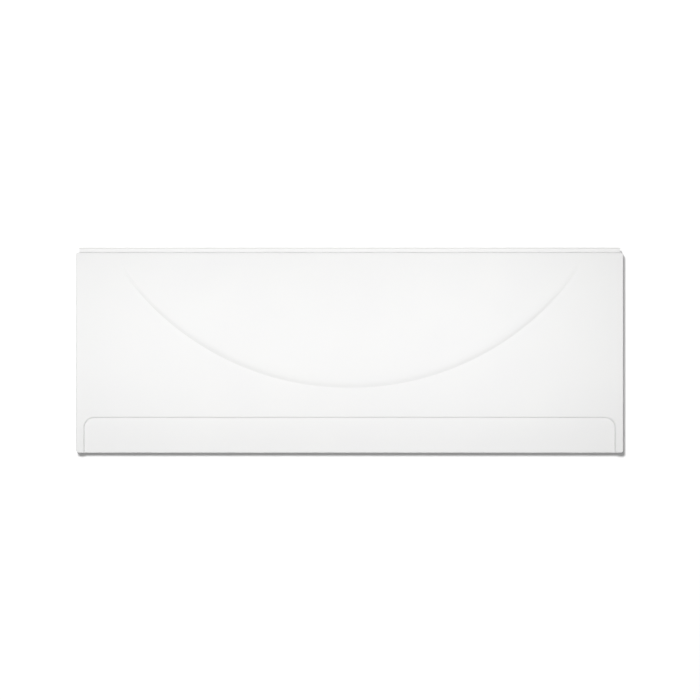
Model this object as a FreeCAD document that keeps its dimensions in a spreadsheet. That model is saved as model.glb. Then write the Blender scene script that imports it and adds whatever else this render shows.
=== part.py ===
"""Front panel for a bathtub: one acrylic sheet drawn over a mould and trimmed.

The panel lies on its back, face up. X runs along its length, Y from the plinth to the top lip and Z out of the
face; z = 0 is the trimmed rim. The sheet keeps one thickness, so the panel is the outside form less the same
form drawn one sheet thickness further in. Sizes are millimetres and degrees.
"""

import FreeCAD
import Part
import Sketcher

import os

# alias, value, what it is
SIZES = [
    ("panel_length", "1500", "length over the end flanges, at the rim"),
    ("panel_height", "550", "bottom edge to the top of the face, at the rim"),
    ("face_depth", "45", "rim to the flat of the face"),
    ("sheet", "3", "thickness of the formed sheet"),
    ("side_draft", "0.8", "lean of the flanges, in degrees"),
    ("corner_bend", "3", "inside radius of the four upright corners"),
    ("edge_bend", "0.6", "inside radius round the front edge"),
    ("lip_height", "12.5", "top lip above the face"),
    ("lip_setback", "8", "front of the lip behind the face"),
    ("lip_inset", "8", "end of the lip in from the end of the panel"),
    ("lip_bend", "3", "front radius where the lip leaves the step"),
    ("lip_round", "2.6", "front radius along the lip's trimmed edge"),
    ("plinth_height", "98", "bottom edge to the top of the plinth recess"),
    ("plinth_inset", "22", "side of the plinth recess in from the end of the panel"),
    ("plinth_depth", "7", "plinth behind the face"),
    ("plinth_draft", "10", "lean of the recess walls, in degrees"),
    ("plinth_corner", "28", "front radius of the recess's two upper corners"),
    ("plinth_top_bend", "1.2", "inside radius where the face turns into the recess"),
    ("plinth_foot_bend", "3", "front radius where the recess wall meets the plinth"),
    ("swell_end_inset", "107", "end of the swell's arc in from the end of the panel"),
    ("swell_foot", "178.5", "lowest point of the arc above the bottom edge"),
    ("swell_top_gap", "24", "line where the swell rises from the face, below the top of the face"),
    ("swell_rise", "7.2", "crest of the swell above the face"),
    ("swell_crest_drop", "225", "crest of the swell below the line where it rises"),
    ("swell_slope", "36", "slope of the swell's rim, in degrees"),
    ("swell_bend", "39", "inside radius that rounds the swell over to its rim"),
    ("swell_root", "15", "depth to which the swell is sunk into the face before they are joined"),
]

WALL_SHARE = 0.9  # most of a wall that roundings along it may take up

# sizes worked out from the driving ones
DERIVED = [
    ("bottom", "-(panel_height + lip_height) / 2", "y of the bottom edge"),
    ("swell_chord", "panel_length / 2 - swell_end_inset", "half the width of the arc"),
    ("swell_sag", "panel_height - swell_top_gap - swell_foot", "drop of the arc"),
    ("swell_radius", "(swell_chord ^ 2 + swell_sag ^ 2) / (2 * swell_sag)", "radius of the arc"),
    ("crest_radius", "(swell_crest_drop ^ 2 + swell_rise ^ 2) / (2 * swell_rise)", "radius of the crest"),
    ("draft_gain", "1 / cos(side_draft * 1 deg)", "wall shift per unit of inset on a flange"),
    ("plinth_gain", "1 / cos(plinth_draft * 1 deg) - tan(plinth_draft * 1 deg)", "the same, in the recess"),
    ("swell_run", "1 / tan(swell_slope * 1 deg)", "run of the swell's rim per unit of height"),
    ("lip_turn", f"min(lip_round; {WALL_SHARE} * sheet)", "lip_round, or what the sheet leaves room for"),
    ("recess_turns", f"{WALL_SHARE} * plinth_depth / (1 - sin(plinth_draft * 1 deg))",
     "front radii of the recess's two bends that its wall leaves room for, together"),
    ("plinth_foot", "min(plinth_foot_bend; recess_turns - plinth_top_bend - sheet)",
     "plinth_foot_bend, or what the recess wall leaves room for"),
]

NUDGE = 0.5  # how far from a plane an edge may lie and still be taken as on it

doc = FreeCAD.newDocument("bath_panel")
sizes = doc.addObject("Spreadsheet::Sheet", "Sizes")


def fill_sheet():
    """Write every driving and derived size to the sheet under its alias."""
    rows = [(alias, value, note) for alias, value, note in SIZES]
    rows += [(alias, "=" + formula, note) for alias, formula, note in DERIVED]
    for row, (alias, value, note) in enumerate(rows, start=1):
        sizes.set(f"A{row}", note)
        sizes.set(f"B{row}", value)
        sizes.setAlias(f"B{row}", alias)
    doc.recompute()


def size(formula):
    """Value of a formula in the sheet's aliases, where $name stands for Sizes.name."""
    return float(sizes.evalExpression(sheet_text(formula)))


def sheet_text(formula):
    """The formula with every $name written as a reference to the sheet."""
    return formula.replace("$", "Sizes.")


def bind(feature, **formulas):
    """Tie properties to formulas; a double underscore in a keyword stands for a dot in the property's path."""
    for path, formula in formulas.items():
        feature.setExpression(path.replace("__", "."), sheet_text(formula))


def add_sketch(body, name, level):
    """Sketch parallel to XY at the height level, with its origin in the middle of the panel's bottom edge."""
    sketch = body.newObject("Sketcher::SketchObject", name)
    plane = next(item for item in body.Origin.OriginFeatures if item.Role == "XY_Plane")
    sketch.AttachmentSupport = [(plane, "")]
    sketch.MapMode = "FlatFace"
    bind(sketch, AttachmentOffset__Base__y="$bottom", AttachmentOffset__Base__z=level)
    return sketch


def add_rectangle(body, name, level, half_width, low, high):
    """Sketch of a rectangle centred on x = 0 between two heights above the bottom edge."""
    sketch = add_sketch(body, name, level)
    corners = [(-1, 1), (1, 1), (1, 2), (-1, 2)]
    points = [FreeCAD.Vector(x * size(half_width), size(low) if y == 1 else size(high)) for x, y in corners]
    for start, end in zip(points, points[1:] + points[:1]):
        sketch.addGeometry(Part.LineSegment(start, end))
    for side in range(4):
        sketch.addConstraint(Sketcher.Constraint("Coincident", side, 2, (side + 1) % 4, 1))
    sketch.addConstraint(Sketcher.Constraint("Symmetric", 0, 1, 0, 2, -2))
    sketch.addConstraint(Sketcher.Constraint("Horizontal", 2))
    for side in (1, 3):
        sketch.addConstraint(Sketcher.Constraint("Vertical", side))
    values = [
        ("width", Sketcher.Constraint("DistanceX", 0, 1, 0, 2, 2 * size(half_width)), f"2 * ({half_width})"),
        ("top", Sketcher.Constraint("DistanceY", -1, 1, 2, 1, size(high)), high),
        ("tall", Sketcher.Constraint("DistanceY", 1, 1, 1, 2, size(high) - size(low)), f"({high}) - ({low})"),
    ]
    for label, constraint, formula in values:
        index = sketch.addConstraint(constraint)
        sketch.renameConstraint(index, label)
        sketch.setExpression(f"Constraints.{label}", sheet_text(formula))
    return sketch


def add_pad(body, name, sketch, length):
    """Pad of a sketch upward by a length."""
    pad = body.newObject("PartDesign::Pad", name)
    pad.Profile = sketch
    bind(pad, Length=length)
    doc.recompute()
    return pad


def add_draft(body, name, base, faces, neutral, angle):
    """Lean faces of a feature about a plane that stays as it is."""
    draft = body.newObject("PartDesign::Draft", name)
    draft.Base = (base, faces)
    draft.NeutralPlane = neutral
    bind(draft, Angle=angle)
    doc.recompute()
    return draft


def add_fillet(body, name, base, edges, radius):
    """Round edges of a feature; edges that run on smoothly from them are rounded too."""
    fillet = body.newObject("PartDesign::Fillet", name)
    fillet.Base = (base, edges)
    bind(fillet, Radius=radius)
    doc.recompute()
    return fillet


def pick_faces(feature, test):
    """Names of the faces whose outward normal and centre pass a test."""
    found = []
    for index, face in enumerate(feature.Shape.Faces, start=1):
        if test(face.normalAt(0, 0), face.CenterOfMass):
            found.append(f"Face{index}")
    return found


def pick_edges(feature, test):
    """Names of the edges whose bounding box passes a test."""
    found = []
    for index, edge in enumerate(feature.Shape.Edges, start=1):
        if test(edge.BoundBox):
            found.append(f"Edge{index}")
    return found


def on_level(box, z):
    """Whether an edge's bounding box lies on the plane at height z."""
    return abs(box.ZMin - z) < NUDGE and abs(box.ZMax - z) < NUDGE


def make_form(name, inset, lip_edges):
    """Panel without its swell, its whole outside drawn in by inset: a solid block with the recess and the lip.

    Bends that stick out get tighter by the inset and bends that fall in get wider by it.
    """
    body = doc.addObject("PartDesign::Body", name)
    half_length = f"$panel_length / 2 - {inset} * $draft_gain"
    low = f"{inset} * $draft_gain"
    high = f"$panel_height - {inset} * $draft_gain"
    front = f"$face_depth - {inset}"
    out_turn = f"$sheet - {inset}"

    outline = add_rectangle(body, name + "_outline", "0", half_length, low, high)
    block = add_pad(body, name + "_block", outline, front)
    sides = pick_faces(block, lambda normal, middle: abs(normal.z) < 0.5)
    plane = next(item for item in body.Origin.OriginFeatures if item.Role == "XY_Plane")
    form = add_draft(body, name + "_flanges", block, sides, (plane, [""]), "$side_draft")
    upright = pick_edges(form, lambda box: box.ZLength > size(front) - NUDGE)
    form = add_fillet(body, name + "_corners", form, upright, f"$corner_bend + {out_turn}")

    form = cut_recess(body, name, form, inset, front)
    top_line = pick_edges(
        form,
        lambda box: on_level(box, size(front)) and box.YMin > size("$bottom + $panel_height - $swell_top_gap"),
    )
    form = add_fillet(body, name + "_front_edge", form, top_line, f"$edge_bend + {out_turn}")

    lip = add_rectangle(body, name + "_lip_outline", lip_edges["level"], "$panel_length / 2 - $lip_inset",
                        "$panel_height - $swell_top_gap", "$panel_height + $lip_height")
    form = add_pad(body, name + "_lip", lip, lip_edges["thickness"])
    lip_z = size(lip_edges["bend_level"])
    inner_line = pick_edges(
        form,
        lambda box: on_level(box, lip_z)
        and box.XLength > size("$panel_length / 2")
        and box.YMax < size("$bottom + $panel_height + $lip_height / 2"),
    )
    form = add_fillet(body, name + "_lip_bend", form, inner_line, f"$lip_bend + {inset}")
    if lip_edges["rounded"]:
        trimmed = pick_edges(
            form,
            lambda box: on_level(box, lip_z)
            and box.XLength > size("$panel_length / 2")
            and box.YMin > size("$bottom + $panel_height + $lip_height / 2"),
        )
        add_fillet(body, name + "_lip_round", form, trimmed, "$lip_turn")
    return body


def cut_recess(body, name, base, inset, front):
    """Cut the plinth recess out of the front of a form, lean its walls and round it; returns the last feature."""
    out_turn = f"$sheet - {inset}"
    opening = add_rectangle(body, name + "_recess_outline", front,
                            f"$panel_length / 2 - $plinth_inset + {inset} * $plinth_gain",
                            "0", f"$plinth_height + {inset} * $plinth_gain")
    pocket = body.newObject("PartDesign::Pocket", name + "_recess")
    pocket.Profile = opening
    bind(pocket, Length="$plinth_depth")
    doc.recompute()
    if pocket.Shape.Volume > base.Shape.Volume - size("$panel_length * $plinth_height * $plinth_depth / 2"):
        raise RuntimeError("the recess was not cut")

    near = size("$bottom + $sheet * 2")
    far = size(f"$bottom + $plinth_height + {inset} * $plinth_gain") + NUDGE
    end = size("$panel_length / 2 - $plinth_inset / 2")
    floor_z = size(f"{front} - $plinth_depth")
    face = pick_faces(pocket, lambda normal, middle: normal.z > 0.9 and middle.z > floor_z + NUDGE)
    walls = pick_faces(
        pocket,
        lambda normal, middle: abs(normal.z) < 0.01 and abs(middle.x) < end and near < middle.y < far,
    )
    form = add_draft(body, name + "_recess_walls", pocket, walls, (pocket, face), "$plinth_draft")
    corners = pick_edges(
        form,
        lambda box: box.ZLength > size("$plinth_depth") - NUDGE and near < box.YMin < far and abs(box.XMin) < end,
    )
    form = add_fillet(body, name + "_recess_corners", form, corners, f"$plinth_corner + {inset}")
    foot = pick_edges(form, lambda box: on_level(box, floor_z) and near < box.YMax < far)
    form = add_fillet(body, name + "_recess_foot", form, foot, f"$plinth_foot + {inset}")
    rim = pick_edges(
        form,
        lambda box: on_level(box, size(front))
        and near < box.YMax < far
        and max(abs(box.XMin), abs(box.XMax)) < end,
    )
    return add_fillet(body, name + "_recess_rim", form, rim, f"$plinth_top_bend + {out_turn}")


def make_swell(name, inset):
    """Swell of the face, drawn in by inset: a low cone under a wide barrel crest, sunk into the face."""
    base = "$face_depth - $swell_root"
    cone = doc.addObject("Part::Cone", name + "_rim")
    radius = f"$swell_radius - {inset} / sin($swell_slope * 1 deg)"
    bind(
        cone,
        Radius1=f"{radius} + $swell_root * $swell_run",
        Radius2=f"{radius} - 2 * $swell_rise * $swell_run",
        Height="$swell_root + 2 * $swell_rise",
        Placement__Base__y="$bottom + $swell_foot + $swell_radius",
        Placement__Base__z=base,
    )
    crest = doc.addObject("Part::Cylinder", name + "_crest")
    crest.Placement.Rotation = FreeCAD.Rotation(FreeCAD.Vector(0, 1, 0), 90)
    bind(
        crest,
        Radius=f"$crest_radius - {inset}",
        Height="$panel_length",
        Placement__Base__x="-$panel_length / 2",
        Placement__Base__y="$bottom + $panel_height - $swell_top_gap - $swell_crest_drop",
        Placement__Base__z="$face_depth + $swell_rise - $crest_radius",
    )
    trim = doc.addObject("Part::Box", name + "_trim")
    bind(
        trim,
        Length="$panel_length",
        Width="$panel_height - $swell_top_gap / 2",
        Height="$swell_root + 2 * $swell_rise",
        Placement__Base__x="-$panel_length / 2",
        Placement__Base__y="$bottom",
        Placement__Base__z=base,
    )
    blank = doc.addObject("Part::MultiCommon", name + "_blank")
    blank.Shapes = [cone, crest, trim]
    doc.recompute()
    body = doc.addObject("PartDesign::Body", name)
    body.BaseFeature = blank
    doc.recompute()
    arc = pick_edges(
        body.Group[0],
        lambda box: box.XLength > size("$swell_chord") and box.YLength > size("$swell_sag / 2")
        and box.ZMax > size("$face_depth") - size("$sheet"),
    )
    add_fillet(body, name + "_round", body.Group[0], arc, f"$swell_bend + $sheet - {inset}")
    return body


def join(name, shapes):
    """Union of shapes."""
    union = doc.addObject("Part::MultiFuse", name)
    union.Shapes = shapes
    doc.recompute()
    return union


def check(panel):
    """Stop unless every object was built without an error and the panel is one sound solid."""
    for item in doc.Objects:
        if {"Invalid", "Error"} & set(item.State):
            raise RuntimeError(f"{item.Name} was not built")
        shape = getattr(item, "Shape", None)
        if shape is not None and (shape.isNull() or not shape.isValid()):
            raise RuntimeError(f"{item.Name} has no sound shape")
    if len(panel.Shape.Solids) != 1:
        raise RuntimeError("the panel is not one solid")


fill_sheet()

outside = join("outside", [
    make_form("outer", "0", {
        "level": "$face_depth - $lip_setback - $sheet",
        "thickness": "$sheet",
        "bend_level": "$face_depth - $lip_setback",
        "rounded": True,
    }),
    make_swell("outer_swell", "0"),
])
inside = join("inside", [
    make_form("inner", "$sheet", {
        "level": "0",
        "thickness": "$face_depth - $lip_setback - $sheet",
        "bend_level": "$face_depth - $lip_setback - $sheet",
        "rounded": False,
    }),
    make_swell("inner_swell", "$sheet"),
])

bath_panel = doc.addObject("Part::Cut", "bath_panel")
bath_panel.Base = outside
bath_panel.Tool = inside
doc.recompute()
check(bath_panel)

os.makedirs("parts", exist_ok=True)
bath_panel.Shape.exportStep("parts/bath_panel.step")
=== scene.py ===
"""A white gloss bath panel, formed from one acrylic sheet, lying face up on a white studio floor.

Shapes are worked out in millimetres in the part's own frame, X along the length, Y from the plinth to the lip
and Z out of the face, and are turned into metres when a mesh is made.
"""

import logging
import math
from dataclasses import dataclass
from enum import IntEnum

import bpy
import numpy as np
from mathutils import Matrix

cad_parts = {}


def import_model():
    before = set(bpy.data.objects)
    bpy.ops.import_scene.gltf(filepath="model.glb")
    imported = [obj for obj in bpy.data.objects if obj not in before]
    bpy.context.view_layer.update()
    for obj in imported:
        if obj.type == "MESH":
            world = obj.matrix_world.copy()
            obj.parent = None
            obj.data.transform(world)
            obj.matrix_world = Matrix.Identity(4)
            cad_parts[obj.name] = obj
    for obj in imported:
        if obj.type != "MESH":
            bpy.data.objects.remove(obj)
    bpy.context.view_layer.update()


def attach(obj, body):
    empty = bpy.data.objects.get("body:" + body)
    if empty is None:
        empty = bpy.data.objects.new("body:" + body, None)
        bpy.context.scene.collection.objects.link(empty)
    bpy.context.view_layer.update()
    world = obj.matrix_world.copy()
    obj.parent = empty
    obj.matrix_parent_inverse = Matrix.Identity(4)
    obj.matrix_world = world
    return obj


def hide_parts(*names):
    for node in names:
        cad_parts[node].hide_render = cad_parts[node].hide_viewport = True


LOG = logging.getLogger("bath_panel")
MM = 0.001  # metres in a millimetre
TINY = 1e-6  # millimetres that count as nothing in a comparison
MIX_A, MIX_B, MIX_OUT = 6, 7, 2  # colour sockets of a Mix node, whose names repeat


def linear_rgba(hex_code: str) -> tuple[float, float, float, float]:
    """Turn an sRGB hex colour into linear light, by the straight foot and the power curve of sRGB.

    Args:
        hex_code: Colour as "#RRGGBB".

    Returns:
        Linear red, green and blue, and an alpha of 1.
    """
    shares = [int(hex_code[at : at + 2], 16) / 255 for at in (1, 3, 5)]
    red, green, blue = [s / 12.92 if s <= 0.04045 else ((s + 0.055) / 1.055) ** 2.4 for s in shares]
    return red, green, blue, 1.0


def add_node(
    tree: bpy.types.NodeTree, kind: str, inputs: dict[str | int, object] | None = None, **settings: object
) -> bpy.types.Node:
    """Add a node to a tree, with its settings, values and links.

    Args:
        tree: Node tree that takes the node.
        kind: Blender's identifier of the node type.
        inputs: Input name or number to a value, or to an output socket that is linked to it.
        **settings: Properties of the node.

    Returns:
        The new node.
    """
    node = tree.nodes.new(kind)
    for name, value in settings.items():
        setattr(node, name, value)
    for name, value in (inputs or {}).items():
        if isinstance(value, bpy.types.NodeSocket):
            tree.links.new(value, node.inputs[name])
        else:
            node.inputs[name].default_value = value
    return node


def new_material(name: str) -> tuple[bpy.types.Material, bpy.types.NodeTree]:
    """Make a material with an empty node tree.

    Args:
        name: Name of the material.

    Returns:
        The material and its node tree.
    """
    material = bpy.data.materials.new(name)
    material.use_nodes = True
    material.node_tree.nodes.clear()
    return material, material.node_tree


def seen_directly(tree: bpy.types.NodeTree) -> bpy.types.NodeSocket:
    """Tell rays that show a thing from rays that only carry its light.

    Args:
        tree: Node tree that takes the nodes.

    Returns:
        Socket that is 1 for camera, glossy and transmission rays and 0 for light that falls on other things.
    """
    path = add_node(tree, "ShaderNodeLightPath").outputs
    first = add_node(tree, "ShaderNodeMath", {
        0: path["Is Camera Ray"], 1: path["Is Glossy Ray"]}, operation="MAXIMUM")
    both = add_node(tree, "ShaderNodeMath", {
        0: first.outputs[0], 1: path["Is Transmission Ray"]}, operation="MAXIMUM")
    return both.outputs[0]


def strip_quads(index: np.ndarray, closed: bool = False) -> np.ndarray:
    """Quads between neighbouring rows and columns of a grid of vertex numbers.

    Args:
        index: Vertex numbers, rows by columns.
        closed: Whether the last column joins the first.

    Returns:
        Quads as an array of N by 4 vertex numbers.
    """
    if closed:
        index = np.concatenate([index, index[:, :1]], axis=1)
    corners = [index[:-1, :-1], index[1:, :-1], index[1:, 1:], index[:-1, 1:]]
    return np.stack(corners, axis=2).reshape(-1, 4)


def unit(vectors: np.ndarray) -> np.ndarray:
    """Vectors of length 1 in the same directions."""
    return vectors / np.linalg.norm(vectors, axis=-1, keepdims=True)


def vertex_normals(points: np.ndarray, quads: np.ndarray) -> np.ndarray:
    """Normals at the points of a mesh.

    A quad's normal is the cross product of its diagonals, as long as twice its area, and a point's is the sum
    of those round it.

    Args:
        points: Points N by 3.
        quads: Vertex numbers M by 4.

    Returns:
        Unit normals N by 3.
    """
    corner = points[quads]
    face = np.cross(corner[:, 2] - corner[:, 0], corner[:, 3] - corner[:, 1])
    total = np.zeros_like(points)
    for place in range(4):
        np.add.at(total, quads[:, place], face)
    return unit(total)


class SheetSide(IntEnum):
    """Sides of the formed sheet, in the order of the piece's material slots."""

    FACE = 0
    BACK = 1
    CUT = 2


@dataclass(frozen=True)
class GlossAcrylic:
    """White cast acrylic, thermoformed: the face that shows.

    The sheet comes polished and softens over the mould, so it mirrors softly, with a faint orange peel from
    the heat and a slow waviness from the draw.
    """

    name: str = "white_cast_acrylic_gloss"
    colour: str = "#F0F0EF"
    colour_thin: str = "#EDEDED"  # where the draw has thinned the sheet
    roughness: float = 0.08
    ior: float = 1.49  # acrylic
    peel_mm: float = 6.0  # real orange peel is 1 to 3 mm; drawn coarser so that it shows
    peel_height_mm: float = 0.012
    wave_mm: float = 140.0  # slow waviness of a drawn sheet
    wave_height_mm: float = 0.25

    def material(self) -> bpy.types.Material:
        """Build the node tree: two bumps in a row, and a faint cloud of thinner sheet in the colour.

        Returns:
            The material of the face.
        """
        material, tree = new_material(self.name)
        place = add_node(tree, "ShaderNodeTexCoord").outputs["Object"]
        wave = add_node(tree, "ShaderNodeTexNoise", {
            "Vector": place, "Scale": 1 / (self.wave_mm * MM), "Detail": 1.0, "Roughness": 0.4})
        peel = add_node(tree, "ShaderNodeTexNoise", {
            "Vector": place, "Scale": 1 / (self.peel_mm * MM), "Detail": 2.0, "Roughness": 0.5})
        slow = add_node(tree, "ShaderNodeBump", {
            "Height": wave.outputs["Fac"], "Strength": 1.0, "Distance": self.wave_height_mm * MM})
        fine = add_node(tree, "ShaderNodeBump", {
            "Height": peel.outputs["Fac"], "Strength": 1.0, "Distance": self.peel_height_mm * MM,
            "Normal": slow.outputs["Normal"]})
        cloud = add_node(tree, "ShaderNodeMix", {
            0: wave.outputs["Fac"], MIX_A: linear_rgba(self.colour), MIX_B: linear_rgba(self.colour_thin)},
            data_type="RGBA")
        shader = add_node(tree, "ShaderNodeBsdfPrincipled", {
            "Base Color": cloud.outputs[MIX_OUT], "Roughness": self.roughness, "IOR": self.ior,
            "Normal": fine.outputs["Normal"]})
        add_node(tree, "ShaderNodeOutputMaterial", {"Surface": shader.outputs["BSDF"]})
        return material


@dataclass(frozen=True)
class SatinAcrylic:
    """The back of the same cast acrylic sheet, as it came off the vacuum mould.

    The mould's sanded surface prints a fine satin grain into it, and dust and handling leave it a little
    greyer in patches, so it shows no mirror image, only a broad soft sheen.
    """

    name: str = "white_cast_acrylic_satin"
    colour: str = "#EFEFEC"
    colour_patch: str = "#E6E6E2"
    roughness: float = 0.5
    ior: float = 1.49
    grain_mm: float = 1.6  # real sanding grain is 0.2 to 0.5 mm; drawn coarser so that it shows
    grain_height_mm: float = 0.03
    patch_mm: float = 70.0

    def material(self) -> bpy.types.Material:
        """Build the node tree: sanding grain as bump, patches in the colour.

        Returns:
            The material of the back.
        """
        material, tree = new_material(self.name)
        place = add_node(tree, "ShaderNodeTexCoord").outputs["Object"]
        grain = add_node(tree, "ShaderNodeTexNoise", {
            "Vector": place, "Scale": 1 / (self.grain_mm * MM), "Detail": 2.0, "Roughness": 0.6})
        patch = add_node(tree, "ShaderNodeTexNoise", {
            "Vector": place, "Scale": 1 / (self.patch_mm * MM), "Detail": 3.0, "Roughness": 0.5})
        bump = add_node(tree, "ShaderNodeBump", {
            "Height": grain.outputs["Fac"], "Strength": 1.0, "Distance": self.grain_height_mm * MM})
        colour = add_node(tree, "ShaderNodeMix", {
            0: patch.outputs["Fac"], MIX_A: linear_rgba(self.colour), MIX_B: linear_rgba(self.colour_patch)},
            data_type="RGBA")
        shader = add_node(tree, "ShaderNodeBsdfPrincipled", {
            "Base Color": colour.outputs[MIX_OUT], "Roughness": self.roughness, "IOR": self.ior,
            "Normal": bump.outputs["Normal"]})
        add_node(tree, "ShaderNodeOutputMaterial", {"Surface": shader.outputs["BSDF"]})
        return material


@dataclass(frozen=True)
class SawnAcrylic:
    """The trimmed edge of the sheet, sawn and scraped.

    Saw teeth frost the cut with close scratches across the sheet's thickness, so it is whiter and duller than
    the polished face.
    """

    name: str = "white_cast_acrylic_sawn"
    colour: str = "#F1F1EF"
    colour_groove: str = "#DFDFDC"
    roughness: float = 0.6
    ior: float = 1.49
    tooth_mm: float = 1.2  # real saw marks are about 0.5 mm apart; drawn coarser so that they show
    tooth_height_mm: float = 0.05

    def material(self) -> bpy.types.Material:
        """Build the node tree: saw marks as a fine noise, in the colour and as bump.

        Returns:
            The material of the trimmed edge.
        """
        material, tree = new_material(self.name)
        place = add_node(tree, "ShaderNodeTexCoord").outputs["Object"]
        marks = add_node(tree, "ShaderNodeTexNoise", {
            "Vector": place, "Scale": 1 / (self.tooth_mm * MM), "Detail": 2.0, "Roughness": 0.6})
        bump = add_node(tree, "ShaderNodeBump", {
            "Height": marks.outputs["Fac"], "Strength": 1.0, "Distance": self.tooth_height_mm * MM})
        colour = add_node(tree, "ShaderNodeMix", {
            0: marks.outputs["Fac"], MIX_A: linear_rgba(self.colour_groove), MIX_B: linear_rgba(self.colour)},
            data_type="RGBA")
        shader = add_node(tree, "ShaderNodeBsdfPrincipled", {
            "Base Color": colour.outputs[MIX_OUT], "Roughness": self.roughness, "IOR": self.ior,
            "Normal": bump.outputs["Normal"]})
        add_node(tree, "ShaderNodeOutputMaterial", {"Surface": shader.outputs["BSDF"]})
        return material


@dataclass(frozen=True)
class PaperSweep:
    """White background paper: matt, plain white to camera and mirrors, soft grey in the light it returns.

    The grey keeps the paper from lighting the panel's edges from below, as if the panel stood well in front
    of it.
    """

    name: str = "white_background_paper"
    colour: str = "#FBFBFB"
    colour_back: str = "#BEBEBE"  # what the panel is lit by

    def material(self) -> bpy.types.Material:
        """Build the node tree: a matt shader whose colour goes by the kind of ray.

        Returns:
            The material of the paper.
        """
        material, tree = new_material(self.name)
        colour = add_node(tree, "ShaderNodeMix", {
            0: seen_directly(tree), MIX_A: linear_rgba(self.colour_back), MIX_B: linear_rgba(self.colour)},
            data_type="RGBA")
        paper = add_node(tree, "ShaderNodeBsdfDiffuse", {"Color": colour.outputs[MIX_OUT]})
        add_node(tree, "ShaderNodeOutputMaterial", {"Surface": paper.outputs[0]})
        return material


@dataclass(frozen=True)
class MeshLines:
    """Where the sheet's mesh lines lie: how many on each arc, and which shares of the way along the rest."""

    pitch: float = 9.0  # millimetres between lines along the middle of the length
    foot: int = 7  # on the arc from the plinth up to the recess's wall
    rim: int = 9  # on the arc from that wall over to the face
    corner: int = 5  # from the centre of a corner of the flat to its edge
    edge: int = 10  # on the rounded edge
    bend: int = 8  # on the lip's bend
    trim: int = 6  # on the rounding of a trimmed edge
    in_recess: tuple[float, ...] = (0.0, 0.35, 0.7, 0.9)  # from the recess corner's centre to the foot
    past_rim: tuple[float, ...] = (0.2, 0.45, 0.75, 1.0)  # from the rim to the line of the lip's end
    on_plinth: tuple[float, ...] = (0.06, 0.15, 0.3, 0.5, 0.75, 1.0)  # from the edge to that centre
    below_crease: tuple[float, ...] = (0.8, 0.6, 0.42, 0.27, 0.15, 0.06)  # from the crease to the recess
    at_crease: tuple[float, ...] = (-2.0, -0.5, 0.0, 0.5, 2.0, 4.0)  # millimetres across the crease
    on_swell: tuple[float, ...] = (
        0.006, 0.014, 0.024, 0.036, 0.05, 0.067, 0.09, 0.12, 0.155, 0.2, 0.25, 0.31, 0.38, 0.46, 0.55, 0.64,
        0.73, 0.82, 0.91)  # from the crease to the top of the flat
    down_flange: tuple[float, ...] = (0.3, 0.65, 1.0)  # from the lip's level to the trimmed edge
    on_lip: tuple[float, ...] = (0.35, 0.7, 1.0)  # from the bend to the trimmed edge
    steepest: float = 0.8  # sine of the crease's lean up to which its lines spread along Y


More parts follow.
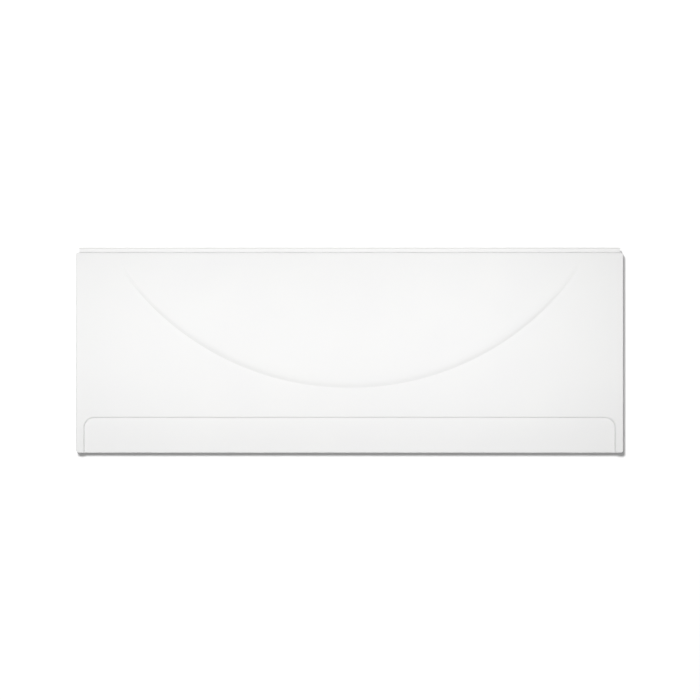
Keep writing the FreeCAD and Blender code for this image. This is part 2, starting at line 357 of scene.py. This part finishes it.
@dataclass
class FormedSheet:
    """The panel: one sheet drawn over a mould into a shallow tray and trimmed. In millimetres and degrees."""

    name: str = "formed_sheet"
    length: float = 1500.0
    height: float = 550.0
    depth: float = 45.0
    sheet: float = 3.0
    draft: float = 0.8
    corner: float = 6.0
    edge: float = 3.6
    lip_height: float = 12.5
    lip_setback: float = 8.0
    lip_inset: float = 8.0
    lip_bend: float = 3.0
    lip_round: float = 2.6
    plinth_height: float = 98.0
    plinth_inset: float = 22.0
    plinth_depth: float = 7.0
    plinth_draft: float = 10.0
    plinth_corner: float = 28.0
    plinth_rim: float = 4.2
    plinth_foot: float = 3.0
    swell_end_inset: float = 107.0
    swell_foot: float = 178.5
    swell_top_gap: float = 24.0
    swell_rise: float = 7.2
    swell_crest_drop: float = 225.0
    swell_slope: float = 36.0
    swell_round: float = 42.0
    crease: float = 0.06  # height over which the swell's foot blends into the face
    deburr: float = 0.4  # rounding on the trimmed edges other than the lip's
    scrape: float = 0.3  # chamfer on the back of all trimmed edges
    saw_cut: float = 1.4  # how far the lip's ends draw in from the flange's corners
    least_drop: float = 1.0  # flange that is left under the rounded edge where the plinth lies low
    sharp: float = 32.0  # edges that turn by more are shaded sharp
    lines: MeshLines = MeshLines()

    def __post_init__(self) -> None:
        """Work out the places that several methods share."""
        self.lean = math.tan(math.radians(self.draft))
        self.low = -(self.height + self.lip_height) / 2
        self.edge_reach = self.edge * math.tan(math.radians(90 - self.draft) / 2)
        self.flat_end = self.length / 2 - self.depth * self.lean - self.edge_reach
        self.flat_low = self.low + self.depth * self.lean + self.edge_reach
        self.flat_high = self.low + self.height - self.depth * self.lean - self.edge_reach
        self.flat_corner = self.corner - self.edge
        self.corner_steps = self.flat_corner * np.linspace(0, 1, self.lines.corner)
        self.lip_end = self.length / 2 - self.lip_inset
        self.lip_tip = self.low + self.height + self.lip_height - self.lip_round
        self.recess_x = self.length / 2 - self.plinth_inset - self.plinth_corner
        self.recess_y = self.low + self.plinth_height - self.plinth_corner
        self.block = self.flat_end - self.recess_x
        chord = self.length / 2 - self.swell_end_inset
        sag = self.height - self.swell_top_gap - self.swell_foot
        self.arc_radius = (chord**2 + sag**2) / (2 * sag)
        self.arc_y = self.low + self.swell_foot + self.arc_radius
        self.swell_top = self.low + self.height - self.swell_top_gap
        self.crest_radius = (self.swell_crest_drop**2 + self.swell_rise**2) / (2 * self.swell_rise)

    def recess_stations(self) -> tuple[np.ndarray, np.ndarray, np.ndarray]:
        """Lines that follow the recess outline, from the centre of its corner arc outward.

        The profile is a foot arc from the plinth up to the leaning wall, the straight wall, and a rim arc
        from the wall over to the face. An arc's points are its centre plus its radius times sine and cosine
        of an even angle.

        Returns:
            Distance of each line from the corner's centre, its height over the face, and its normal as an
            N by 2 array of outward and upward parts.
        """
        lean = math.radians(self.plinth_draft)
        turn = math.pi / 2 - lean
        rise = np.linspace(0, turn, self.lines.foot)
        fall = np.linspace(turn, 0, self.lines.rim)
        foot_start = -self.plinth_depth * math.tan(lean) - self.plinth_foot * math.tan(turn / 2)
        rim_end = self.plinth_rim * math.tan(turn / 2)
        foot = np.stack([
            foot_start + self.plinth_foot * np.sin(rise),
            self.plinth_foot * (1 - np.cos(rise)) - self.plinth_depth,
        ])
        rim = np.stack([rim_end - self.plinth_rim * np.sin(fall), self.plinth_rim * (np.cos(fall) - 1)])
        wall = (foot[:, -1:] + rim[:, :1]) / 2
        strip = np.concatenate([foot, wall, rim], axis=1)
        angle = np.concatenate([rise, [turn], fall])

        inner = np.array(self.lines.in_recess) * (self.plinth_corner + strip[0, 0])
        first, last = self.plinth_corner + strip[0, -1], self.block - self.flat_corner
        slit = self.lip_end - self.recess_x
        outer = np.concatenate([
            first + (slit - first) * np.array(self.lines.past_rim),
            last + self.corner_steps,
        ])
        distance = np.concatenate([inner, self.plinth_corner + strip[0], outer])
        level = np.concatenate([np.full(inner.size, -self.plinth_depth), strip[1], np.zeros(outer.size)])
        angle = np.concatenate([np.zeros(inner.size), angle, np.zeros(outer.size)])
        return distance, level, np.stack([-np.sin(angle), np.cos(angle)], axis=1)

    def swell_height(self, x: np.ndarray, y: np.ndarray) -> np.ndarray:
        """Height of the swell over the face.

        A wide barrel arched along Y is the crest. A cone round the arc's centre is the rim. Between them lies
        an arc of the rounding radius, which starts where it is tangent to the crest.

        Args:
            x: Places along the length.
            y: Places up the face, in an array of the same shape.

        Returns:
            Heights, negative where the swell lies under the face.
        """
        out = np.hypot(x, y - self.arc_y)
        slope = math.radians(self.swell_slope)
        across = y - (self.swell_top - self.swell_crest_drop)
        crest = self.swell_rise - self.crest_radius + np.sqrt(self.crest_radius**2 - across**2)
        start = self.arc_radius - crest / math.tan(slope) - self.swell_round * math.tan(slope / 2)
        span = self.swell_round * math.sin(slope)
        along = np.clip(out - start, 0, span)
        rounded = crest - self.swell_round + np.sqrt(self.swell_round**2 - along**2)
        return rounded - np.maximum(out - start - span, 0) * math.tan(slope)

    def crease_line(self, x: np.ndarray) -> np.ndarray:
        """Line of the sharp crease at the foot of the swell.

        It is where swell_height is zero, found by halving the span from just outside the arc to well inside.

        Args:
            x: Places along the length.

        Returns:
            Y of the crease, held at the swell's top line beyond the arc's ends.
        """
        outside, inside_by, halvings = 2.0, 60.0, 40
        below = self.arc_y - np.sqrt(np.maximum((self.arc_radius + outside) ** 2 - x**2, 0))
        below = np.minimum(below, self.swell_top)
        above = np.minimum(below + inside_by, self.swell_top)
        for _ in range(halvings):
            middle = (below + above) / 2
            inside = self.swell_height(x, middle) > 0
            above = np.where(inside, middle, above)
            below = np.where(inside, below, middle)
        return above

    def upper_rows(self, x: np.ndarray) -> list[np.ndarray]:
        """Mesh lines from above the recess to the top of the flat, drawn close together along the crease.

        Args:
            x: Places of the lines along the length.

        Returns:
            One array of Y per line, from the bottom up.
        """
        crease = self.crease_line(x)
        steep = np.sqrt(1 - np.minimum(np.abs(x) / self.arc_radius, self.lines.steepest) ** 2)
        base = self.recess_y + self.block
        top = self.flat_high - self.flat_corner
        steps = self.lines.at_crease
        under, over = -steps[0] / steep, steps[-1] / steep
        rows = [crease - under - share * (crease - base - under) for share in self.lines.below_crease]
        rows += [crease + step / steep for step in steps]
        rows += [crease + over + share * (top - crease - over) for share in self.lines.on_swell]
        rows += [np.full(x.size, top + step) for step in self.corner_steps]
        return rows

    def round_block(self, a: np.ndarray, b: np.ndarray) -> tuple[np.ndarray, np.ndarray]:
        """Bend the square mesh lines of the recess corner round its arc.

        A point's line is the larger of its two distances from the arc's centre. Up to the recess's rim a
        line is a quarter circle; beyond it the circle shrinks until the outermost line is a plain corner. The
        point keeps its share of the way along its line.

        Args:
            a: Distances along X from the arc's centre, all positive.
            b: Distances along Y.

        Returns:
            The bent distances along X and along Y.
        """
        line = np.maximum(a, b)
        share = np.minimum(a, b) / line
        full = self.plinth_corner + self.plinth_rim
        radius = np.where(line < full, line, full * (self.block - line) / (self.block - full))
        straight = line - radius
        way = share * (straight + radius * math.pi / 4)
        angle = np.maximum(way - straight, 0) / np.maximum(radius, TINY)
        far = straight + radius * np.cos(angle)
        near = np.minimum(way, straight) + radius * np.sin(angle)
        return np.where(a >= b, far, near), np.where(a >= b, near, far)

    def face_grid(self) -> tuple[np.ndarray, np.ndarray]:
        """Front of the sheet inside its rounded edge, as a grid of mesh lines.

        The height of a point is the depth, plus the recess's level on its line, plus the swell. The swell is
        blended into the face as half the sum of its height and the root of that height squared plus the
        crease squared.

        Returns:
            Points as an array of columns by rows by 3, and the normals of the bottom row.
        """
        distance, level, normal = self.recess_stations()
        middle = np.linspace(0, self.recess_x, round(self.recess_x / self.lines.pitch) + 1)
        right = np.concatenate([middle, self.recess_x + distance[1:]])
        x = np.concatenate([-right[:0:-1], right])
        station_x = np.maximum(np.abs(np.arange(x.size) - right.size + 1) - middle.size + 1, 0)

        low_rows = np.concatenate([
            self.flat_low + self.corner_steps,
            self.flat_low + (self.recess_y - self.flat_low) * np.array(self.lines.on_plinth),
        ])
        block_rows = self.recess_y + distance[1:]
        upper = np.stack(self.upper_rows(x), axis=1)
        lower_count = low_rows.size + block_rows.size
        lower = np.broadcast_to(np.concatenate([low_rows, block_rows]), (x.size, lower_count))
        y = np.concatenate([lower, upper], axis=1)
        x = np.repeat(x[:, None], y.shape[1], axis=1)
        station_y = np.clip(np.arange(y.shape[1]) - low_rows.size + 1, 0, distance.size - 1)

        bent = (station_x[:, None] > 0) & (station_y[None, :] > 0)
        bent[:, lower_count:] = False
        side = np.sign(x[bent])
        far_x, far_y = self.round_block(np.abs(x[bent]) - self.recess_x, y[bent] - self.recess_y)
        x[bent] = side * (self.recess_x + far_x)
        y[bent] = self.recess_y + far_y
        self.round_corners(x, y)

        station = np.maximum(station_x[:, None], station_y[None, :])
        swell = self.swell_height(x, y)
        swell = (swell + np.sqrt(swell**2 + self.crease**2)) / 2
        swell[:, :lower_count] = 0
        z = self.depth + level[station] + swell
        foot = normal[station[:, 0]]
        y[:, 0] += self.edge_start(z[:, 0], foot[:, 1]) - self.flat_low
        foot_normal = np.stack([np.sign(x[:, 0]) * foot[:, 0], np.zeros(x.shape[0]), foot[:, 1]], axis=1)
        return np.stack([x, y, z], axis=2), foot_normal

    def round_corners(self, x: np.ndarray, y: np.ndarray) -> None:
        """Bend the mesh at the four corners of the flat into quarter discs.

        In the small square at a corner the larger of the two distances from its inner point is the disc's
        radius, and the smaller over the larger is the share of half a right angle.

        Args:
            x: Places along the length, which are changed in place.
            y: Places up the face, which are changed in place.
        """
        inner_x = self.flat_end - self.flat_corner
        inner_low, inner_high = self.flat_low + self.flat_corner, self.flat_high - self.flat_corner
        past_x = np.abs(x) - inner_x
        past_y = np.maximum(y - inner_high, inner_low - y)
        corner = (past_x > TINY) & (past_y > TINY)
        a, b = past_x[corner], past_y[corner]
        angle = np.minimum(a, b) / np.maximum(a, b) * math.pi / 4
        angle = np.where(a >= b, angle, math.pi / 2 - angle)
        radius = np.maximum(a, b)
        up = y[corner] > 0
        x[corner] = np.sign(x[corner]) * (inner_x + radius * np.cos(angle))
        y[corner] = np.where(up, inner_high + radius * np.sin(angle), inner_low - radius * np.sin(angle))

    def edge_start(self, z: np.ndarray, upward: np.ndarray) -> np.ndarray:
        """Line along which the rounded bottom edge starts on the front.

        A ball of the edge's radius that touches both the front and the leaning flange has its centre there.

        Args:
            z: Heights of the front.
            upward: Upward parts of its normals.

        Returns:
            Y of the line.
        """
        draft = math.radians(self.draft)
        return self.low + (self.edge + math.sin(draft) * (z - self.edge * upward)) / math.cos(draft)

    def edge_rows(self, start: np.ndarray, normal: np.ndarray) -> tuple[np.ndarray, np.ndarray, np.ndarray]:
        """Rounded edge and top of the flange, carried round the outline of the flat.

        The edge is an arc from the surface's normal to the flange's, and the flange runs on down its lean to
        where the lip bends off it.

        Args:
            start: Points of the outline, N by 3.
            normal: Surface normals there.

        Returns:
            Rows of points, rows by N by 3, their normals, and the outward direction in plan at each outline
            point.
        """
        inner = np.array([self.flat_end - self.flat_corner, self.flat_high - self.flat_corner])
        inner_low = np.array([-inner[0], self.flat_low + self.flat_corner])
        out = start[:, :2] - np.clip(start[:, :2], inner_low, inner)
        out = np.pad(unit(out), ((0, 0), (0, 1)))
        draft = math.radians(self.draft)
        flange = out * math.cos(draft) + np.array([0, 0, math.sin(draft)])
        across = np.sum(normal * flange, axis=1, keepdims=True)
        turn = np.arccos(across)
        side = (flange - across * normal) / np.sin(turn)
        angle = np.linspace(0, 1, self.lines.edge)[1:, None, None] * turn
        turned = np.cos(angle) * normal + np.sin(angle) * side
        arc = start - self.edge * normal + self.edge * turned
        slit = self.lip_level() + self.lip_bend * (1 - math.sin(draft))
        drop = arc[-1, :, 2:] - np.minimum(slit, arc[-1, :, 2:] - self.least_drop)
        rows = np.concatenate([arc, (arc[-1] + drop * self.down(out))[None]])
        return rows, np.concatenate([turned, flange[None]]), out

    def down(self, out: np.ndarray) -> np.ndarray:
        """Step along the flange that falls by one millimetre, for each outward direction."""
        return out * self.lean - np.array([0, 0, 1.0])

    def lip_level(self) -> float:
        """Height of the lip's front."""
        return self.depth - self.lip_setback

    def lip_rows(self, start: np.ndarray) -> np.ndarray:
        """Lip, from where it bends off the top flange to its trimmed edge.

        The profile is an arc from the flange's lean to level, then a straight run, and it is carried along
        the top. Its ends draw in, which leaves a saw cut between the lip and the corners of the flange.

        Args:
            start: Points of the bend's start along the top, N by 3.

        Returns:
            Rows of points, rows by N by 3.
        """
        draft = math.radians(self.draft)
        angle = np.linspace(draft, math.pi / 2, self.lines.bend)[1:]
        middle_y = start[0, 1] + self.lip_bend * math.cos(draft)
        run = np.array(self.lines.on_lip)
        y = np.concatenate([
            middle_y - self.lip_bend * np.cos(angle),
            middle_y + (self.lip_tip - middle_y) * run,
        ])
        z = np.concatenate([
            self.lip_level() + self.lip_bend * (1 - np.sin(angle)),
            np.full(run.size, self.lip_level()),
        ])
        rows = np.empty((y.size, start.shape[0], 3))
        rows[..., 0] = start[:, 0] * (1 - self.saw_cut / self.lip_end)
        rows[..., 1] = y[:, None]
        rows[..., 2] = z[:, None]
        return rows

    def front(self) -> tuple[np.ndarray, np.ndarray, np.ndarray, np.ndarray]:
        """Front of the whole sheet as one open surface: flat, rounded edge, flanges and lip.

        The normals are those of the mesh, save on the rounded edge, where its own are exact.

        Returns:
            Points N by 3, their normals, quads, and the vertex numbers of the trimmed edge in order round it.
        """
        grid, foot_normal = self.face_grid()
        columns, rows = grid.shape[:2]
        number = np.arange(columns * rows).reshape(columns, rows)
        points = grid.reshape(-1, 3)
        loop = np.concatenate([number[:, 0], number[-1, 1:], number[-2::-1, -1], number[0, -2:0:-1]])
        normal = np.tile([0.0, 0.0, 1.0], (loop.size, 1))
        normal[:columns] = foot_normal

        in_lip = np.abs(points[loop, 0]) < self.lip_end + TINY
        on_lip = in_lip & (points[loop, 1] > self.flat_high - TINY)
        first = np.flatnonzero(on_lip)[-1]
        loop, normal = np.roll(loop, -first), np.roll(normal, -first, axis=0)
        edge, edge_normal, out = self.edge_rows(points[loop], normal)
        edge_number = points.shape[0] + np.arange(edge[..., 0].size).reshape(edge.shape[:2])
        ring = np.concatenate([loop[None], edge_number])

        right = loop.size - int(on_lip.sum()) + 1  # place in the loop of the saw cut on the right
        sides = slice(0, right + 1)
        start = edge[-1, sides]
        share = np.array(self.lines.down_flange)[:, None, None]
        flange = start + share * (start[:, 2:] - self.deburr) * self.down(out[sides])
        lip_place = np.append(np.arange(right, loop.size), 0)
        lip = self.lip_rows(edge[-1, lip_place])
        flange_number = edge_number[-1, -1] + 1 + np.arange(flange[..., 0].size).reshape(flange.shape[:2])
        lip_number = flange_number[-1, -1] + 1 + np.arange(lip[..., 0].size).reshape(lip.shape[:2])
        quads = np.concatenate([
            strip_quads(number),
            strip_quads(ring, closed=True),
            strip_quads(np.concatenate([ring[-1:, sides], flange_number])),
            strip_quads(np.concatenate([ring[-1:, lip_place], lip_number])),
        ])
        trimmed = np.concatenate([
            flange_number[-1], flange_number[-2::-1, -1], ring[-1:, right], lip_number[:, 0],
            lip_number[-1, 1:-1], lip_number[::-1, -1], ring[-1:, 0], flange_number[:-1, 0],
        ])
        points = np.concatenate([points, edge.reshape(-1, 3), flange.reshape(-1, 3), lip.reshape(-1, 3)])
        normals = vertex_normals(points, quads)
        normals[loop] = normal
        normals[edge_number] = edge_normal
        return points, normals, quads, trimmed

    def shell(self) -> tuple[np.ndarray, np.ndarray, np.ndarray]:
        """Closed sheet: the front, the same surface set back by the sheet's thickness, and the trimmed edge.

        The back is the front less the thickness times the normal. The edge runs out past both by its radius,
        with a rounding on the front and a small chamfer on the back. Outward is the cross product of the
        edge's run and the normal. The run at a point is the sum of the two steps beside it, each made one
        long, save on the lip's tip.

        Returns:
            Points N by 3, quads, and the side of the sheet that each quad is on.
        """
        front, normal, quads, trimmed = self.front()
        back = front - self.sheet * normal
        tip = front[trimmed, 1:2] > self.lip_tip - TINY
        step = np.roll(front[trimmed], -1, axis=0) - front[trimmed]
        step = np.where(tip | np.roll(tip, -1, axis=0), step, unit(step))
        outward = unit(np.cross(step + np.roll(step, 1, axis=0), normal[trimmed]))
        radius = np.where(tip, self.lip_round, self.deburr)
        angle = np.linspace(0, math.pi / 2, self.lines.trim)[1:, None, None]
        turned = np.sin(angle) * outward - (1 - np.cos(angle)) * normal[trimmed]
        scraped = back[trimmed] + np.stack([
            radius * outward + self.scrape * normal[trimmed],
            (radius - self.scrape) * outward,
        ])
        cut = np.concatenate([front[trimmed] + radius * turned, scraped])
        points = np.concatenate([front, back, cut.reshape(-1, 3)])
        points[:, 2] = np.maximum(points[:, 2], 0)
        count = front.shape[0]
        cut_number = 2 * count + np.arange(cut[..., 0].size).reshape(cut.shape[:2])
        cut_strip = np.concatenate([trimmed[None], cut_number, trimmed[None] + count])
        parts = {
            SheetSide.FACE: quads,
            SheetSide.BACK: quads[:, ::-1] + count,
            SheetSide.CUT: strip_quads(cut_strip, closed=True),
        }
        side = np.repeat(list(parts), [len(part) for part in parts.values()])
        return points, np.concatenate(list(parts.values())), side

    def build(self) -> bpy.types.Object:
        """Make the sheet's mesh and dress it in its three finishes.

        Returns:
            The piece, which stands for the CAD node and rides with it.
        """
        points, quads, side = self.shell()
        mesh = bpy.data.meshes.new(self.name)
        mesh.from_pydata(points * MM, [], quads)
        for finish in (GlossAcrylic(), SatinAcrylic(), SawnAcrylic()):
            mesh.materials.append(finish.material())
        mesh.polygons.foreach_set("material_index", side.astype(np.int32))
        mesh.shade_smooth()
        mesh.set_sharp_from_angle(angle=math.radians(self.sharp))
        mesh.validate()
        piece = bpy.data.objects.new(self.name, mesh)
        bpy.context.scene.collection.objects.link(piece)
        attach(piece, "root")
        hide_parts("bath_panel")
        return piece


@dataclass(frozen=True)
class SoftLamp:
    """A polarised soft box that faces down: it lights one thing and shows no image of itself. In metres."""

    name: str
    place: tuple[float, float, float]
    size: tuple[float, float]
    watts: float
    beam: float = 180.0  # degrees; a grid before the lamp narrows it

    def hang(self, lit: bpy.types.Object) -> None:
        """Hang the lamp in the scene.

        Args:
            lit: The thing that the lamp lights; the others only throw their shadow there.
        """
        lamp = bpy.data.lights.new(self.name, "AREA")
        lamp.shape = "RECTANGLE"
        lamp.size, lamp.size_y = self.size
        lamp.energy = self.watts
        lamp.spread = math.radians(self.beam)
        lamp.cycles.use_multiple_importance_sampling = False  # else the gloss shows a faint image of the lamp
        holder = bpy.data.objects.new(self.name, lamp)
        holder.location = self.place
        holder.visible_glossy = False
        holder.visible_camera = False
        bpy.context.scene.collection.objects.link(holder)
        group = bpy.data.collections.new(f"lit_by_{self.name}")
        group.objects.link(lit)
        holder.light_linking.receiver_collection = group


@dataclass
class Studio:
    """White paper sweep, a front lamp for the panel, a key lamp for the paper, fill, and a camera above.

    Lengths are in metres. The heights of sweep and ceiling are sines of the elevation.
    """

    paper: float = 30.0  # across
    front: SoftLamp = SoftLamp("front", (-0.111, 0.056, 6.0), (2.69, 1.2), 9.9, 21.2)
    key: SoftLamp = SoftLamp("key", (-1.3, 2.6, 10.0), (1.8, 1.8), 1020.0)
    fill: float = 0.3
    room: float = 0.3  # what a mirror sees between the white sweep and the white ceiling
    sweep_top: tuple[float, float] = (0.2, 0.4)  # where the sweep's white fades into the room
    ceiling: tuple[float, float] = (0.65, 0.97)  # where the room fades into the ceiling's white
    lens_mm: float = 200.0
    sight: float = 100.0  # how far the camera sees
    camera_place: tuple[float, float, float] = (0.001, 0.001, 10.693)

    def build(self, panel: bpy.types.Object) -> None:
        """Set up everything round the panel.

        Args:
            panel: The panel, which the front lamp lights.
        """
        self.front.hang(panel)
        self.key.hang(self.lay_paper())
        self.set_fill()
        self.place_camera()

    def lay_paper(self) -> bpy.types.Object:
        """Lay the paper on the floor, as one square round the origin.

        Returns:
            The paper, which is part of the stage.
        """
        half = self.paper / 2
        corners = [(-half, -half, 0), (half, -half, 0), (half, half, 0), (-half, half, 0)]
        mesh = bpy.data.meshes.new("paper_sweep")
        mesh.from_pydata(corners, [], [(0, 1, 2, 3)])
        mesh.materials.append(PaperSweep().material())
        paper = bpy.data.objects.new("paper_sweep", mesh)
        bpy.context.scene.collection.objects.link(paper)
        return paper

    def set_fill(self) -> None:
        """Even fill from all round; camera and mirrors see a white sweep, a grey room, a white ceiling."""
        world = bpy.data.worlds.new("fill")
        world.use_nodes = True
        tree = world.node_tree
        tree.nodes.clear()
        way = add_node(tree, "ShaderNodeTexCoord").outputs["Generated"]
        up = add_node(tree, "ShaderNodeSeparateXYZ", {0: way}).outputs["Z"]
        ceiling = add_node(tree, "ShaderNodeMapRange", {
            "Value": up, "From Min": self.ceiling[0], "From Max": self.ceiling[1],
            "To Min": self.room, "To Max": 1.0})
        sweep = add_node(tree, "ShaderNodeMapRange", {
            "Value": up, "From Min": self.sweep_top[0], "From Max": self.sweep_top[1],
            "To Min": 1.0, "To Max": self.room})
        studio = add_node(tree, "ShaderNodeMath", {
            0: ceiling.outputs[0], 1: sweep.outputs[0]}, operation="MAXIMUM")
        level = add_node(tree, "ShaderNodeMapRange", {
            "Value": seen_directly(tree), "To Min": self.fill, "To Max": studio.outputs[0]})
        light = add_node(tree, "ShaderNodeBackground", {
            "Color": linear_rgba("#FFFFFF"), "Strength": level.outputs[0]})
        add_node(tree, "ShaderNodeOutputWorld", {"Surface": light.outputs[0]})
        bpy.context.scene.world = world

    def place_camera(self) -> None:
        """Camera straight above, with the lip at the top of the picture."""
        data = bpy.data.cameras.new("camera")
        data.lens = self.lens_mm
        data.clip_end = self.sight
        camera = bpy.data.objects.new("camera", data)
        camera.location = self.camera_place
        bpy.context.scene.collection.objects.link(camera)
        bpy.context.scene.camera = camera


def main() -> None:
    """Build the panel and the studio."""
    logging.basicConfig(level=logging.INFO, format="%(message)s")
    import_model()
    bpy.context.scene.view_settings.view_transform = "Standard"
    piece = FormedSheet().build()
    LOG.info("%s: %d quads", piece.name, len(piece.data.polygons))
    Studio().build(piece)
    LOG.info("studio: paper, two lamps, fill and camera")


if __name__ == "__main__":
    main()
